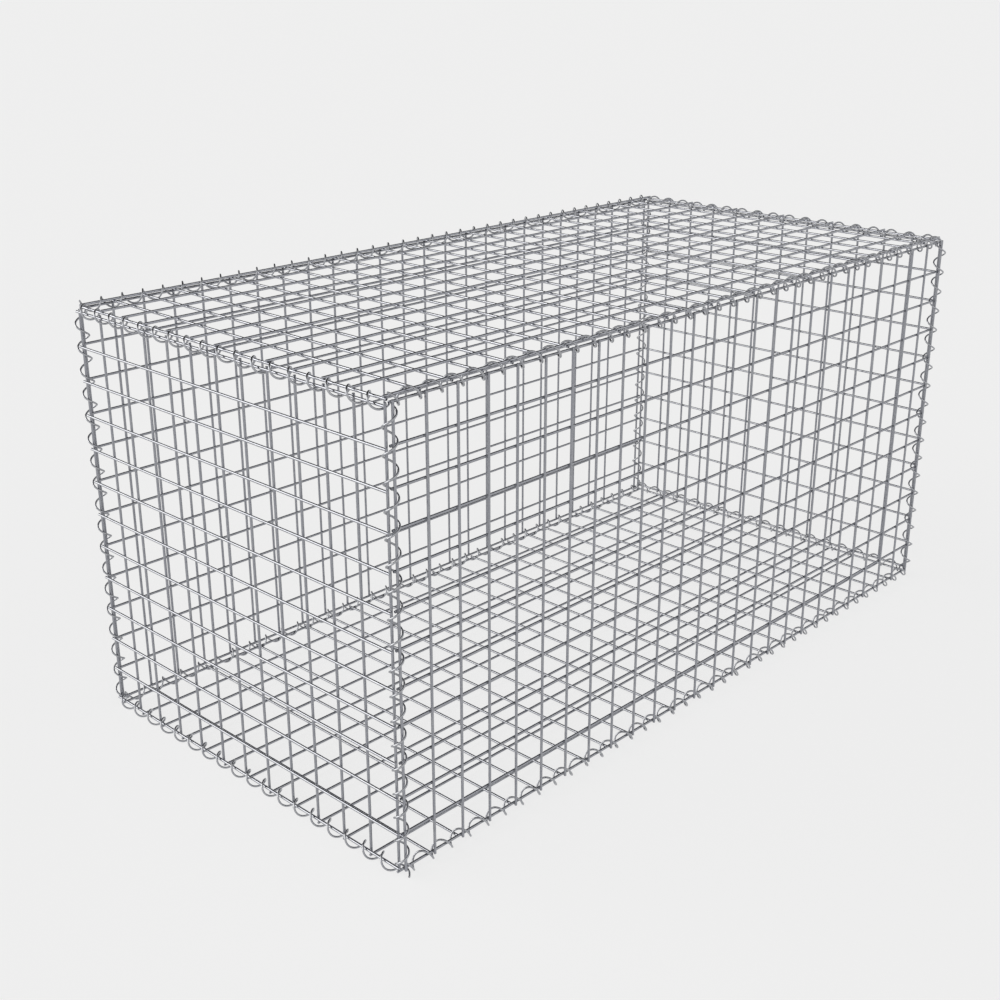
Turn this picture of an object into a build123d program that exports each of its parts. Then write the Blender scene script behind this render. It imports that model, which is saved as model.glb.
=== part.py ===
from build123d import *
from math import cos, floor, pi, sin, sqrt
import os

# Welded-mesh gabion basket: six wire-mesh panels laced along all twelve edges by spiral binders.
# X runs along the basket, Y from front to back, Z up. The origin is on the ground under its middle.

# Mesh cells along each direction
cells_long = 25
cells_deep = 12
cells_high = 12

# Mesh spans, from the centre of a panel's first wire to the centre of its last, in mm
front_span = 2000.0
front_rise = 968.0
end_span = 996.0

# Mesh wires: round wire drawn as a hexagon of the same area, sunk a little into each other by the welds
mesh_wire = 5.5
wire_sides = 6
weld_sink = 0.4
wire_overhang = 5.0

# Spiral binders: square section of the same area as their round wire, three turns to two mesh cells,
# so that every turn passes between the cross wires of both panels that it laces
binder_wire = 4.0
binder_segments = 8
pitch_share = 2 / 3
binder_turn = 67.0

# Lacing: each edge wire stands this far inside the edge wire of the panel that it meets
edge_gap = 9.5
binder_clearance = 0.3
corner_clearance = 1.0

# Sizes that follow from the wires
wire_corner = mesh_wire / 2 * sqrt(pi / (wire_sides / 2 * sin(2 * pi / wire_sides)))
layer_step = mesh_wire - weld_sink
binder_side = binder_wire / 2 * sqrt(pi)
binder_corner = binder_side / sqrt(2)
binder_radius = edge_gap / sqrt(2) + wire_corner + binder_clearance + binder_corner
binder_bend = binder_radius / cos(pi / binder_segments)
binder_reach = binder_bend + binder_corner

# Spans of the panels that are laced to the front and back ones
end_rise = front_rise - 2 * layer_step
lid_span = front_span + 2 * layer_step
lid_depth = end_span - 2 * layer_step

# Middle planes of the panels, measured from the middle of the basket
front_plane = end_span / 2 + edge_gap - layer_step / 2
end_plane = front_span / 2 + edge_gap + layer_step / 2
lid_plane = front_rise / 2 + edge_gap - layer_step / 2

# Axes of the binders, measured from the middle of the basket
upright_x = front_span / 2 + edge_gap / 2
upright_y = end_span / 2 + edge_gap / 2
long_y = upright_y - layer_step
long_z = front_rise / 2 + edge_gap / 2
cross_x = upright_x + layer_step
cross_z = long_z - layer_step

# Lengths of the binders, which stop short of one another in the corners
long_length = front_span - 2 * (binder_reach - edge_gap / 2 - layer_step + binder_corner + corner_clearance)
upright_length = end_rise - 2 * (binder_reach - edge_gap / 2 + binder_corner + corner_clearance)
cross_length = end_span - 2 * (layer_step - edge_gap + wire_corner + binder_corner + corner_clearance)


def wire_bar(direction, length):
    """A straight mesh wire along X or Y through the origin, one corner of its section up."""
    section = Plane(origin=(0, 0, 0), x_dir=(0, 0, 1), z_dir=direction) * RegularPolygon(wire_corner, wire_sides)
    return extrude(section, amount=length / 2 + wire_overhang, both=True)


def mesh_panel(span, cells, rise, rows, outer):
    """A welded panel in the XY plane, facing +Z, with its wires along X or Y in the outer layer."""
    row_level = layer_step / 2 if outer == "X" else -layer_step / 2
    row_wire = wire_bar((1, 0, 0), span)
    column_wire = wire_bar((0, 1, 0), rise)
    row_wires = [Pos(0, (row / rows - 1 / 2) * rise, row_level) * row_wire for row in range(rows + 1)]
    column_wires = [Pos((cell / cells - 1 / 2) * span, 0, -row_level) * column_wire for cell in range(cells + 1)]
    return Part() + row_wires + column_wires


def spiral_binder(length, mesh, cells):
    """A right-handed spiral about Z, centred on the origin, bent in short straight runs."""
    pitch = mesh * pitch_share
    run = pitch / binder_segments
    runs = floor(length / run)
    middle_turn = binder_turn / 360 + cells / (2 * pitch_share)
    points = []
    for corner in range(runs + 1):
        along = (corner - runs / 2) * run
        angle = 2 * pi * (middle_turn + along / pitch)
        points.append((binder_bend * cos(angle), binder_bend * sin(angle), along))
    path = Polyline(*points)
    section = Plane(origin=path @ 0, z_dir=path % 0) * Rectangle(binder_side, binder_side)
    return sweep(section, path=path, transition=Transition.RIGHT)


def lace(binder, inward_p, inward_q, place):
    """Put a binder on an edge, with its local X and Y into the two panels that it laces."""
    return Plane(origin=place, x_dir=inward_p, z_dir=Vector(inward_p).cross(Vector(inward_q))) * binder


# Panels: one of each pair is modelled in place and mirrored to the other side
front = mesh_panel(front_span, cells_long, front_rise, cells_high, "Y")
left_end = mesh_panel(end_span, cells_deep, end_rise, cells_high, "X")
lid = mesh_panel(lid_span, cells_long, lid_depth, cells_deep, "X")
basket = {
    "front_panel": Plane(origin=(0, -front_plane, 0), x_dir=(1, 0, 0), z_dir=(0, -1, 0)) * front,
    "left_end_panel": Plane(origin=(-end_plane, 0, 0), x_dir=(0, -1, 0), z_dir=(-1, 0, 0)) * left_end,
    "lid_panel": Pos(0, 0, lid_plane) * lid,
}
basket["back_panel"] = mirror(basket["front_panel"], about=Plane.XZ)
basket["right_end_panel"] = mirror(basket["left_end_panel"], about=Plane.YZ)
basket["base_panel"] = mirror(basket["lid_panel"], about=Plane.XY)

# Binders: those of the front and of the left end are right-handed, and the others mirror them
long_binder = spiral_binder(long_length, (front_span + lid_span) / 2 / cells_long, cells_long)
cross_binder = spiral_binder(cross_length, (end_span + lid_depth) / 2 / cells_deep, cells_deep)
upright_binder = spiral_binder(upright_length, (front_rise + end_rise) / 2 / cells_high, cells_high)
levels = {"bottom": -1, "top": 1}
for level, up in levels.items():
    front_binder = lace(long_binder, (0, 1, 0), (0, 0, -up), (0, -long_y, up * long_z))
    left_binder = lace(cross_binder, (0, 0, -up), (1, 0, 0), (-cross_x, 0, up * cross_z))
    basket[f"{level}_front_binder"] = front_binder
    basket[f"{level}_back_binder"] = mirror(front_binder, about=Plane.XZ)
    basket[f"{level}_left_binder"] = left_binder
    basket[f"{level}_right_binder"] = mirror(left_binder, about=Plane.YZ)
front_left = lace(upright_binder, (1, 0, 0), (0, 1, 0), (-upright_x, -upright_y, 0))
front_right = mirror(front_left, about=Plane.YZ)
basket["front_left_upright_binder"] = front_left
basket["front_right_upright_binder"] = front_right
basket["back_left_upright_binder"] = mirror(front_left, about=Plane.XZ)
basket["back_right_upright_binder"] = mirror(front_right, about=Plane.XZ)

# Stand the basket on the ground, on the undersides of its bottom binders
ground = min(piece.bounding_box().min.Z for piece in basket.values())
os.makedirs("parts", exist_ok=True)
for name, piece in basket.items():
    piece = Pos(0, 0, -ground) * piece
    piece.label = name
    export_step(piece, f"parts/{name}.step")
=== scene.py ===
import bmesh
import bpy
import math
from mathutils import Matrix, Vector


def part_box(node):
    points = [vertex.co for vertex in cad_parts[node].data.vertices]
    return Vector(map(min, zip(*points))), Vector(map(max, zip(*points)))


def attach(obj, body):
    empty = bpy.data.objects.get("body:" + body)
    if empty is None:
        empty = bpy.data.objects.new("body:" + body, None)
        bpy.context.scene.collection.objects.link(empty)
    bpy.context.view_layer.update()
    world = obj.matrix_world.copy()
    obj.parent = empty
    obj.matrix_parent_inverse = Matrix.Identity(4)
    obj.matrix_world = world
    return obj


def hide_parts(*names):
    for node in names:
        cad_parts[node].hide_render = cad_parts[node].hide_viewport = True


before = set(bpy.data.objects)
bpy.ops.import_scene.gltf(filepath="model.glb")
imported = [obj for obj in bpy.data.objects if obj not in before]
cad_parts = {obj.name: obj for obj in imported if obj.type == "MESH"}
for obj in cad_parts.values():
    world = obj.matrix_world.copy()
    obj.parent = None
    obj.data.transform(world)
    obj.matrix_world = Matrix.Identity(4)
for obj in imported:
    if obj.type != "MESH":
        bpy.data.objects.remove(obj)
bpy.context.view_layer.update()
scene = bpy.context.scene
scene.view_settings.view_transform = "Standard"
print("frame loaded:", len(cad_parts), "nodes")

mixA, mixB, mixResult = 6, 7, 2  # colour sockets of a Mix node


# small helpers for nodes
def emptyTree(owner):
    owner.use_nodes = True
    owner.node_tree.nodes.clear()
    return owner.node_tree


def addNode(tree, kind, at, **settings):
    node = tree.nodes.new(kind)
    node.location = at
    for key, value in settings.items():
        if key in node.bl_rna.properties:
            setattr(node, key, value)
        else:
            node.inputs[key].default_value = value
    return node


def rampNode(tree, at, stops):
    node = addNode(tree, "ShaderNodeValToRGB", at)
    for element, (place, colour) in zip(node.color_ramp.elements, stops):
        element.position = place
        element.color = (*colour[:3], 1)
    return node


def grey(level):
    return (level, level, level, 1)


# zinc coating: soft grey spangle, fine grain and a dull bloom in places
zincLook = {
    "mesh": {"dark": (0.280, 0.287, 0.314), "light": (0.356, 0.364, 0.393), "bloom": (0.404, 0.410, 0.426)},
    # the lid's tones are painted light: the same zinc made about a fifth lighter, so the top panel shows lighter than
    # the others
    "lid": {"dark": (0.342, 0.350, 0.383), "light": (0.434, 0.444, 0.479), "bloom": (0.493, 0.500, 0.520)},
    "binder": {"dark": (0.318, 0.325, 0.347), "light": (0.406, 0.414, 0.436), "bloom": (0.456, 0.461, 0.472)},
    "weld": {"dark": (0.215, 0.222, 0.240), "light": (0.290, 0.297, 0.315), "bloom": (0.330, 0.332, 0.340)},
    "metallic": 0.90,
    "rough": (0.10, 0.19),
    "bright": (0.05, 0.10),         # the spiral wire is the smoother one
    "spangleSize": 520.0,           # spangles of about 2 mm
    "spangleStops": (0.1, 0.9),
    "bloomSize": 26.0,              # dull patches of about 40 mm
    "bloomStops": (0.50, 0.72),
    "bloomShare": 0.6,
    "grainSize": 1400.0,            # grain of under 1 mm
    "grainBump": 0.12,
    "grainDepth": 0.0002,
}


def zincMaterial(name, tones, roughness):
    material = bpy.data.materials.new(name)
    tree = emptyTree(material)
    link = tree.links.new
    out = addNode(tree, "ShaderNodeOutputMaterial", (900, 0))
    zinc = addNode(tree, "ShaderNodeBsdfPrincipled", (600, 0), Metallic=zincLook["metallic"])
    place = addNode(tree, "ShaderNodeTexCoord", (-1000, 0))
    spangle = addNode(tree, "ShaderNodeTexVoronoi", (-760, 200), feature="F1", Scale=zincLook["spangleSize"])
    bloom = addNode(tree, "ShaderNodeTexNoise", (-760, -120), Scale=zincLook["bloomSize"], Detail=4.0, Roughness=0.6)
    grain = addNode(tree, "ShaderNodeTexNoise", (-760, -420), Scale=zincLook["grainSize"], Detail=2.0, Roughness=0.5)
    tone = rampNode(tree, (-480, 200), zip(zincLook["spangleStops"], (tones["dark"], tones["light"])))
    patch = rampNode(tree, (-480, -120), zip(zincLook["bloomStops"], (grey(0), grey(1))))
    weak = addNode(tree, "ShaderNodeMath", (-220, -120), operation="MULTIPLY")
    weak.inputs[1].default_value = zincLook["bloomShare"]
    colour = addNode(tree, "ShaderNodeMix", (60, 120), data_type="RGBA")
    colour.inputs[mixB].default_value = (*tones["bloom"], 1)
    rough = addNode(tree, "ShaderNodeMapRange", (60, -180))
    rough.inputs["To Min"].default_value, rough.inputs["To Max"].default_value = roughness
    bump = addNode(tree, "ShaderNodeBump", (320, -360), Strength=zincLook["grainBump"], Distance=zincLook["grainDepth"])
    for texture in (spangle, bloom, grain):
        link(place.outputs["Object"], texture.inputs["Vector"])
    link(spangle.outputs["Color"], tone.inputs["Fac"])
    link(bloom.outputs["Fac"], patch.inputs["Fac"])
    link(patch.outputs["Color"], weak.inputs[0])
    link(weak.outputs["Value"], colour.inputs["Factor"])
    link(tone.outputs["Color"], colour.inputs[mixA])
    link(colour.outputs[mixResult], zinc.inputs["Base Color"])
    link(bloom.outputs["Fac"], rough.inputs["Value"])
    link(rough.outputs["Result"], zinc.inputs["Roughness"])
    link(grain.outputs["Fac"], bump.inputs["Height"])
    link(bump.outputs["Normal"], zinc.inputs["Normal"])
    link(zinc.outputs["BSDF"], out.inputs["Surface"])
    return material


meshZinc = zincMaterial("meshWireZinc", zincLook["mesh"], zincLook["rough"])
paintedLightLidZinc = zincMaterial("lidWirePaintedLight", zincLook["lid"], zincLook["rough"])  # painted light: a lighter copy of the mesh zinc, so the top panel shows lighter as if more light fell on it
binderZinc = zincMaterial("binderWireZinc", zincLook["binder"], zincLook["bright"])
weldZinc = zincMaterial("weldZinc", zincLook["weld"], zincLook["rough"])
print("zinc finishes made")

sharpAngle = math.radians(40)  # cut ends stay crisp


# one finished piece from a bmesh: stands for its CAD node and rides on the basket
def finishPiece(bm, name, node, materials):
    bmesh.ops.recalc_face_normals(bm, faces=bm.faces)
    mesh = bpy.data.meshes.new(name)
    bm.to_mesh(mesh)
    bm.free()
    for material in materials:
        mesh.materials.append(material)
    mesh.polygons.foreach_set("use_smooth", [True] * len(mesh.polygons))
    mesh.set_sharp_from_angle(angle=sharpAngle)
    piece = bpy.data.objects.new(name, mesh)
    scene.collection.objects.link(piece)
    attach(piece, "root")
    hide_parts(node)
    print(node, "->", name, len(mesh.polygons), "faces")


def repeatAlong(bm, step, count):
    first = bm.verts[:] + bm.edges[:] + bm.faces[:]
    for number in range(1, count):
        copy = bmesh.ops.duplicate(bm, geom=first)["geom"]
        bmesh.ops.translate(bm, vec=step * number, verts=[g for g in copy if isinstance(g, bmesh.types.BMVert)])


def bevelCut(bm, edges, offset):
    bmesh.ops.bevel(bm, geom=edges, offset=offset, offset_type="OFFSET", segments=1, profile=0.5,
                    affect="EDGES", material=-1)


# welded mesh panels: round wires in two layers, sunk into each other at the welds
wireLook = {"diameter": 0.0059, "sink": 0.0008, "overhang": 0.005, "sides": 14, "cutBevel": 0.0005}
weldLook = {"across": 0.0037, "thick": 0.0012, "around": 10, "rings": 4}
panelLook = {
    "front_panel": {"piece": "frontMesh", "normal": "Y", "outer": -1, "rows": "X", "cols": "Z",
                    "cells": (25, 12), "rowsOut": False},
    "back_panel": {"piece": "backMesh", "normal": "Y", "outer": 1, "rows": "X", "cols": "Z",
                   "cells": (25, 12), "rowsOut": False},
    "left_end_panel": {"piece": "leftEndMesh", "normal": "X", "outer": -1, "rows": "Y", "cols": "Z",
                       "cells": (12, 12), "rowsOut": True},
    "right_end_panel": {"piece": "rightEndMesh", "normal": "X", "outer": 1, "rows": "Y", "cols": "Z",
                        "cells": (12, 12), "rowsOut": True},
    "base_panel": {"piece": "baseMesh", "normal": "Z", "outer": -1, "rows": "X", "cols": "Y",
                   "cells": (25, 12), "rowsOut": True},
    "lid_panel": {"piece": "lidMesh", "normal": "Z", "outer": 1, "rows": "X", "cols": "Y",
                  "cells": (25, 12), "rowsOut": True},
}
axisOf = {"X": Vector((1, 0, 0)), "Y": Vector((0, 1, 0)), "Z": Vector((0, 0, 1))}


def turnUpTo(axis):
    return axisOf["Z"].rotation_difference(axis).to_matrix().to_4x4()


def layerOfWires(axis, length, first, step, count):
    bm = bmesh.new()
    radius = wireLook["diameter"] / 2
    bmesh.ops.create_cone(bm, cap_ends=True, segments=wireLook["sides"], radius1=radius, radius2=radius,
                          depth=length, matrix=turnUpTo(axis))
    ends = [e for e in bm.edges if any(len(f.verts) > 4 for f in e.link_faces)]
    bevelCut(bm, ends, wireLook["cutBevel"])
    bmesh.ops.translate(bm, vec=first, verts=bm.verts)
    repeatAlong(bm, step, count)
    return bm


def layerOfWelds(first, rowStep, colStep, across, down, normal):
    bm = bmesh.new()
    flat = Matrix.Diagonal((1, 1, weldLook["thick"] / weldLook["across"], 1))
    bmesh.ops.create_uvsphere(bm, u_segments=weldLook["around"], v_segments=weldLook["rings"],
                              radius=weldLook["across"], matrix=Matrix.Translation(first) @ turnUpTo(normal) @ flat)
    repeatAlong(bm, colStep, across)
    repeatAlong(bm, rowStep, down)
    for face in bm.faces:
        face.material_index = 1  # the weld's zinc
    return bm


def joinInto(bm, other):
    mesh = bpy.data.meshes.new("join")
    other.to_mesh(mesh)
    other.free()
    bm.from_mesh(mesh)
    bpy.data.meshes.remove(mesh)


for node, look in panelLook.items():
    low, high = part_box(node)
    middle = (low + high) / 2
    rowAxis, colAxis, normal = axisOf[look["rows"]], axisOf[look["cols"]], axisOf[look["normal"]] * look["outer"]
    rowLength, colLength = (high - low).dot(rowAxis), (high - low).dot(colAxis)
    span, rise = rowLength - 2 * wireLook["overhang"], colLength - 2 * wireLook["overhang"]
    across, down = look["cells"]
    rowStep, colStep = colAxis * (rise / down), rowAxis * (span / across)
    firstRow, firstCol = colAxis * (-rise / 2), rowAxis * (-span / 2)
    layer = normal * ((wireLook["diameter"] - wireLook["sink"]) / 2 * (1 if look["rowsOut"] else -1))
    bm = layerOfWires(rowAxis, rowLength, middle + firstRow + layer, rowStep, down + 1)
    joinInto(bm, layerOfWires(colAxis, colLength, middle + firstCol - layer, colStep, across + 1))
    joinInto(bm, layerOfWelds(middle + firstRow + firstCol, rowStep, colStep, across + 1, down + 1, normal))
    # the lid panel gets the painted-light lighter copy of the zinc
    wireZinc = paintedLightLidZinc if node == "lid_panel" else meshZinc
    finishPiece(bm, look["piece"], node, [wireZinc, weldZinc])


# spiral binders: a round wire wound about the two edge wires that it laces
# tails hook round the corners, in turns; slack turns hang on the outer wire, in metres
spiralLook = {"radius": 0.0136, "wire": 0.0043, "sides": 10, "steps": 28, "phase": 67.0, "turnsPerCell": 1.5,
              "cutBevel": 0.0004}
longLook = {"cells": 25, "mesh": 0.0802040, "turns": 36.75, "tails": (0.25, 0.44), "slack": (-0.0012, 0.0012)}
crossLook = {"cells": 12, "mesh": 0.0825750, "turns": 18.0, "tails": (0.13, 0.0), "slack": (0.0012, -0.0012)}
lowCrossLook = {**crossLook, "tails": (-0.2, 0.0)}  # cut short in front, clear of the uprights' hooks
uprightLook = {"cells": 12, "mesh": 0.0802417, "turns": 17.25, "tails": (0.75, 0.24), "slack": (0.0, 0.0)}
rightUprightLook = {**uprightLook, "tails": (0.62, 0.24)}  # clear of the long spirals' ends


def spiralWire(look):
    pitch = look["mesh"] / spiralLook["turnsPerCell"]
    radius, fullTurn = spiralLook["radius"], 2 * math.pi
    slope = math.atan2(pitch, fullTurn * radius)
    before = look["turns"] / 2 + look["tails"][0]
    after = look["turns"] / 2 + look["tails"][1]
    steps = round((before + after) * spiralLook["steps"])
    turns = steps / spiralLook["steps"]
    start = spiralLook["phase"] / 360 + look["cells"] * spiralLook["turnsPerCell"] / 2 - before
    bm = bmesh.new()
    section = Matrix.Translation((radius, 0, 0)) @ Matrix.Rotation(slope - math.pi / 2, 4, "X")
    bmesh.ops.create_circle(bm, cap_ends=False, segments=spiralLook["sides"], radius=spiralLook["wire"] / 2,
                            matrix=section)
    bmesh.ops.transform(bm, verts=bm.verts, matrix=Matrix.Translation((0, 0, -pitch * before))
                        @ Matrix.Rotation(fullTurn * start, 4, "Z"))
    bmesh.ops.spin(bm, geom=bm.verts[:] + bm.edges[:], cent=(0, 0, 0), axis=(0, 0, 1),
                   dvec=(0, 0, pitch / spiralLook["steps"]), angle=fullTurn * turns, steps=steps)
    rims = [e for e in bm.edges if e.is_boundary]
    bmesh.ops.holes_fill(bm, edges=rims, sides=0)
    bevelCut(bm, rims, spiralLook["cutBevel"])
    return bm


def laceEdge(look, name, node, inwardP, inwardQ, hand):
    low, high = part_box(node)
    bm = spiralWire(look)
    p, q = Vector(inwardP), Vector(inwardQ)
    frameOfEdge = Matrix((p, q, p.cross(q) * hand)).transposed().to_4x4()
    middle = (low + high) / 2 + p * look["slack"][0] + q * look["slack"][1]
    bmesh.ops.transform(bm, verts=bm.verts, matrix=Matrix.Translation(middle) @ frameOfEdge)
    finishPiece(bm, name, node, [binderZinc])


# front and left spirals are right-handed, back and right ones mirror them
faces, sides, levels = {"front": -1, "back": 1}, {"left": -1, "right": 1}, {"bottom": -1, "top": 1}
for level, up in levels.items():
    for face, back in faces.items():
        laceEdge(longLook, f"{level}{face.title()}Spiral", f"{level}_{face}_binder",
                 (0, -back, 0), (0, 0, -up), -back)
    for side, right in sides.items():
        laceEdge(crossLook if up > 0 else lowCrossLook, f"{level}{side.title()}Spiral", f"{level}_{side}_binder",
                 (0, 0, -up), (-right, 0, 0), -right)
for face, back in faces.items():
    for side, right in sides.items():
        laceEdge(uprightLook if right < 0 else rightUprightLook, f"{face}{side.title()}UprightSpiral",
                 f"{face}_{side}_upright_binder", (-right, 0, 0), (0, -back, 0), back * right)


# floor, which glows to what sees it and keeps a share of the object's shadow
stageLook = {"shade": 0.855, "glow": 0.942, "floorSize": 120.0, "shadowShare": 0.20}


def seenRays(tree, at):
    path = addNode(tree, "ShaderNodeLightPath", at)
    first = addNode(tree, "ShaderNodeMath", (at[0] + 200, at[1]), operation="MAXIMUM")
    second = addNode(tree, "ShaderNodeMath", (at[0] + 400, at[1]), operation="MAXIMUM")
    tree.links.new(path.outputs["Is Camera Ray"], first.inputs[0])
    tree.links.new(path.outputs["Is Glossy Ray"], first.inputs[1])
    tree.links.new(first.outputs["Value"], second.inputs[0])
    tree.links.new(path.outputs["Is Transmission Ray"], second.inputs[1])
    return second.outputs["Value"]


bmFloor = bmesh.new()
bmesh.ops.create_grid(bmFloor, x_segments=1, y_segments=1, size=stageLook["floorSize"])
floorMesh = bpy.data.meshes.new("studioFloor")
bmFloor.to_mesh(floorMesh)
bmFloor.free()
floor = bpy.data.objects.new("studioFloor", floorMesh)
scene.collection.objects.link(floor)
pale = bpy.data.materials.new("paleFloor")
tree = emptyTree(pale)
floorOut = addNode(tree, "ShaderNodeOutputMaterial", (700, 0))
matt = addNode(tree, "ShaderNodeBsdfDiffuse", (0, -150), Color=grey(stageLook["shade"]))
glow = addNode(tree, "ShaderNodeEmission", (0, 150), Color=grey(stageLook["glow"]))
share = addNode(tree, "ShaderNodeMath", (200, 300), operation="MULTIPLY")
share.inputs[1].default_value = 1 - stageLook["shadowShare"]
blend = addNode(tree, "ShaderNodeMixShader", (450, 0))
tree.links.new(seenRays(tree, (-700, 300)), share.inputs[0])
tree.links.new(share.outputs["Value"], blend.inputs["Fac"])
tree.links.new(matt.outputs["BSDF"], blend.inputs[1])
tree.links.new(glow.outputs["Emission"], blend.inputs[2])
tree.links.new(blend.outputs["Shader"], floorOut.inputs["Surface"])
floorMesh.materials.append(pale)

# room: pale, dark overhead, and the floor's own tone where the camera sees past the floor
studioLook = {"pale": 1.0, "dark": 0.0, "towards": (0.30, 0.40, 0.87), "band": (0.52, 0.70), "backdrop": 0.855}
world = bpy.data.worlds.new("paleStudio")
scene.world = world
tree = emptyTree(world)
worldOut = addNode(tree, "ShaderNodeOutputWorld", (700, 0))
walls = addNode(tree, "ShaderNodeBackground", (450, 0))
skyward = addNode(tree, "ShaderNodeTexCoord", (-500, 0))
overhead = addNode(tree, "ShaderNodeVectorMath", (-300, 0), operation="DOT_PRODUCT")
overhead.inputs[1].default_value = Vector(studioLook["towards"]).normalized()
fade = rampNode(tree, (-50, 0), zip(studioLook["band"], (grey(studioLook["pale"]), grey(studioLook["dark"]))))
sight = addNode(tree, "ShaderNodeLightPath", (-50, 350))
backdrop = addNode(tree, "ShaderNodeMix", (250, 150), data_type="RGBA")
backdrop.inputs[mixB].default_value = grey(studioLook["backdrop"])
tree.links.new(skyward.outputs["Generated"], overhead.inputs[0])
tree.links.new(overhead.outputs["Value"], fade.inputs["Fac"])
tree.links.new(sight.outputs["Is Camera Ray"], backdrop.inputs["Factor"])
tree.links.new(fade.outputs["Color"], backdrop.inputs[mixA])
tree.links.new(backdrop.outputs[mixResult], walls.inputs["Color"])
tree.links.new(walls.outputs["Background"], worldOut.inputs["Surface"])

# softbox, low at the back left
softboxLook = {"strength": 1.75, "angle": 54.0, "from": (-0.62, 0.73, 0.28), "colour": (1.0, 0.985, 0.95)}
softboxData = bpy.data.lights.new("softbox", "SUN")
softboxData.energy = softboxLook["strength"]
softboxData.angle = math.radians(softboxLook["angle"])
softboxData.color = softboxLook["colour"]
softbox = bpy.data.objects.new("softbox", softboxData)
softbox.rotation_euler = Vector(softboxLook["from"]).to_track_quat("Z", "Y").to_euler()
scene.collection.objects.link(softbox)
print("stage and light set")

# camera at the photograph's place
cameraLook = {"place": (-2.56599, -2.25440, 1.71597), "turn": 46.4352, "down": 21.2633, "focal": 50.663, "sensor": 36.0}
cameraData = bpy.data.cameras.new("studioCamera")
cameraData.sensor_width = cameraLook["sensor"]
cameraData.lens = cameraLook["focal"]
camera = bpy.data.objects.new("studioCamera", cameraData)
camera.location = cameraLook["place"]
camera.rotation_euler = (math.radians(90 - cameraLook["down"]), 0, -math.radians(cameraLook["turn"]))
scene.collection.objects.link(camera)
scene.camera = camera
